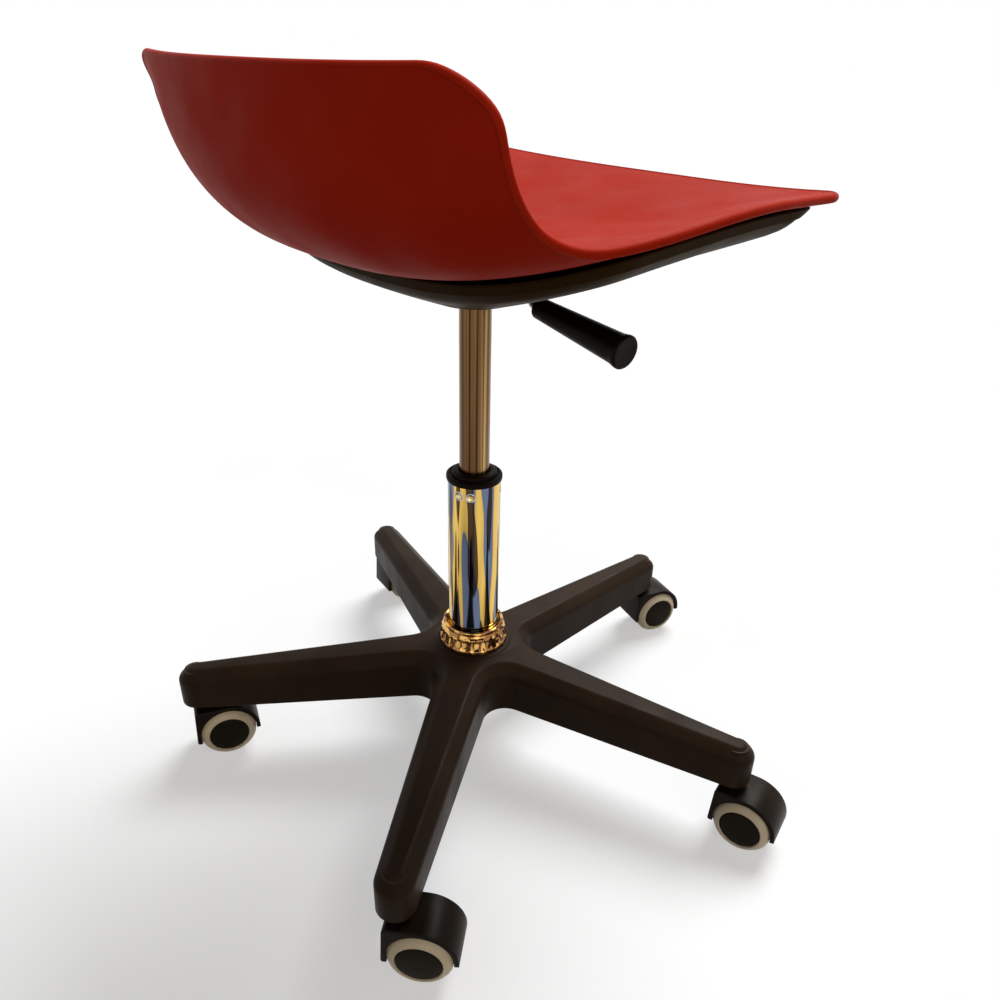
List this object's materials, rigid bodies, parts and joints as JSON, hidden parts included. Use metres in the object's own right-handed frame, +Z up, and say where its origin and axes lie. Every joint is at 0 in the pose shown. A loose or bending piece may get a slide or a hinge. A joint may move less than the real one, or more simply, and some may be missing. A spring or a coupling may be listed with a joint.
{
  "type": "swivel stool",
  "caption": "Low-backed moulded bucket stool on a gas lift with a height lever, a chromed column and a star base on twin-wheel casters.",
  "frame": {"origin": "floor level under the middle of the footprint, which is 47 mm from the column", "axes": "+Z up, the sitter faces -Y, the sitter's right hand is at -X"},
  "size_m": [0.6149, 0.5895, 0.6484],
  "materials": {
    "shell": "fine satin moulding, brick red",
    "black_plastic": "fine satin moulding, warm black",
    "base_plastic": "fine-grained moulding, warm black",
    "caster_plastic": "smooth black moulding",
    "tread": "matt soft tread, grey beige",
    "chrome": "mirror",
    "satin_steel": "fine ground, brownish",
    "dark_steel": "black coat",
    "zinc_steel": "bright zinc",
    "rubber": "matt"
  },
  "bodies": {
    "base": {"star_base": "base_plastic", "tube_collar": "chrome", "outer_tube": "chrome", "guide_bushing": "black_plastic", "lower_washer": "zinc_steel", "caster_stem_1": "zinc_steel", "caster_stem_2": "zinc_steel", "caster_stem_3": "zinc_steel", "caster_stem_4": "zinc_steel", "caster_stem_5": "zinc_steel"},
    "spindle": {"piston_rod": "chrome", "piston": "black_plastic", "upper_washer": "zinc_steel", "ball_ring": "zinc_steel", "end_bumper": "rubber", "retaining_clip": "zinc_steel"},
    "seat": {"seat_shell": "shell", "seat_cover": "black_plastic", "mounting_plate": "dark_steel", "taper_socket": "dark_steel", "seat_screw_1": "zinc_steel", "seat_screw_2": "zinc_steel", "seat_screw_3": "zinc_steel", "seat_screw_4": "zinc_steel", "lever_pin": "zinc_steel", "gas_cylinder": "satin_steel", "rod_guide": "black_plastic"},
    "lever": {"lever_rod": "zinc_steel", "lever_grip": "black_plastic"},
    "button": {"release_button": "zinc_steel"},
    "caster_1": {"caster_hood_1": "caster_plastic", "caster_axle_1": "zinc_steel"},
    "wheel_1a": {"tread_1a": "tread", "wheel_disc_1a": "caster_plastic"},
    "wheel_1b": {"tread_1b": "tread", "wheel_disc_1b": "caster_plastic"},
    "caster_2": {"caster_hood_2": "caster_plastic", "caster_axle_2": "zinc_steel"},
    "wheel_2a": {"tread_2a": "tread", "wheel_disc_2a": "caster_plastic"},
    "wheel_2b": {"tread_2b": "tread", "wheel_disc_2b": "caster_plastic"},
    "caster_3": {"caster_hood_3": "caster_plastic", "caster_axle_3": "zinc_steel"},
    "wheel_3a": {"tread_3a": "tread", "wheel_disc_3a": "caster_plastic"},
    "wheel_3b": {"tread_3b": "tread", "wheel_disc_3b": "caster_plastic"},
    "caster_4": {"caster_hood_4": "caster_plastic", "caster_axle_4": "zinc_steel"},
    "wheel_4a": {"tread_4a": "tread", "wheel_disc_4a": "caster_plastic"},
    "wheel_4b": {"tread_4b": "tread", "wheel_disc_4b": "caster_plastic"},
    "caster_5": {"caster_hood_5": "caster_plastic", "caster_axle_5": "zinc_steel"},
    "wheel_5a": {"tread_5a": "tread", "wheel_disc_5a": "caster_plastic"},
    "wheel_5b": {"tread_5b": "tread", "wheel_disc_5b": "caster_plastic"}
  },
  "joints": [
    {"name": "seat_swivel", "type": "hinge", "parent": "base", "child": "spindle", "pos_m": [0.0154, 0.0445, 0.0676], "axis": [0, 0, 1], "continuous": true},
    {"name": "seat_lift", "type": "slide", "parent": "spindle", "child": "seat", "axis": [0, 0, 1], "range_m": [-0.14, 0]},
    {"name": "lever_pull", "type": "hinge", "parent": "seat", "child": "lever", "pos_m": [-0.0066, 0.0085, 0.5188], "axis": [0, 1, 0], "range_deg": [0, 6.5], "stiffness_Nm_per_rad": 0.6},
    {"name": "button_press", "type": "slide", "parent": "seat", "child": "button", "axis": [0, 0, -1], "range_m": [0, 0.0025]},
    {"name": "caster_swivel_1", "type": "hinge", "parent": "base", "child": "caster_1", "pos_m": [-0.15729, 0.26794, 0.0625], "axis": [0, 0, 1], "continuous": true},
    {"name": "wheel_spin_1a", "type": "hinge", "parent": "caster_1", "child": "wheel_1a", "pos_m": [-0.17359, 0.25392, 0.0275], "axis": [0.6521, -0.7581, 0], "continuous": true},
    {"name": "wheel_spin_1b", "type": "hinge", "parent": "caster_1", "child": "wheel_1b", "pos_m": [-0.17359, 0.25392, 0.0275], "axis": [0.6521, -0.7581, 0], "continuous": true},
    {"name": "caster_swivel_2", "type": "hinge", "parent": "base", "child": "caster_2", "pos_m": [-0.25047, -0.0507, 0.0625], "axis": [0, 0, 1], "continuous": true},
    {"name": "wheel_spin_2a", "type": "hinge", "parent": "caster_2", "child": "wheel_2a", "pos_m": [-0.27121, -0.05637, 0.0275], "axis": [0.2639, -0.9646, 0], "continuous": true},
    {"name": "wheel_spin_2b", "type": "hinge", "parent": "caster_2", "child": "wheel_2b", "pos_m": [-0.27121, -0.05637, 0.0275], "axis": [0.2639, -0.9646, 0], "continuous": true},
    {"name": "caster_swivel_3", "type": "hinge", "parent": "base", "child": "caster_3", "pos_m": [0.02378, -0.23778, 0.0625], "axis": [0, 0, 1], "continuous": true},
    {"name": "wheel_spin_3a", "type": "hinge", "parent": "caster_3", "child": "wheel_3a", "pos_m": [0.01753, -0.25835, 0.0275], "axis": [0.9568, -0.2907, 0], "continuous": true},
    {"name": "wheel_spin_3b", "type": "hinge", "parent": "caster_3", "child": "wheel_3b", "pos_m": [0.01753, -0.25835, 0.0275], "axis": [0.9568, -0.2907, 0], "continuous": true},
    {"name": "caster_swivel_4", "type": "hinge", "parent": "base", "child": "caster_4", "pos_m": [0.28645, -0.03476, 0.0625], "axis": [0, 0, 1], "continuous": true},
    {"name": "wheel_spin_4a", "type": "hinge", "parent": "caster_4", "child": "wheel_4a", "pos_m": [0.28309, -0.056, 0.0275], "axis": [0.9877, -0.1564, 0], "continuous": true},
    {"name": "wheel_spin_4b", "type": "hinge", "parent": "caster_4", "child": "wheel_4b", "pos_m": [0.28309, -0.056, 0.0275], "axis": [0.9877, -0.1564, 0], "continuous": true},
    {"name": "caster_swivel_5", "type": "hinge", "parent": "base", "child": "caster_5", "pos_m": [0.17454, 0.27779, 0.0625], "axis": [0, 0, 1], "continuous": true},
    {"name": "wheel_spin_5a", "type": "hinge", "parent": "caster_5", "child": "wheel_5a", "pos_m": [0.16733, 0.25754, 0.0275], "axis": [0.9421, -0.3355, 0], "continuous": true},
    {"name": "wheel_spin_5b", "type": "hinge", "parent": "caster_5", "child": "wheel_5b", "pos_m": [0.16733, 0.25754, 0.0275], "axis": [0.9421, -0.3355, 0], "continuous": true}
  ],
  "couplings": [
    {"joint": "button_press", "follows": "lever_pull", "m_per_rad": 0.022}
  ]
}
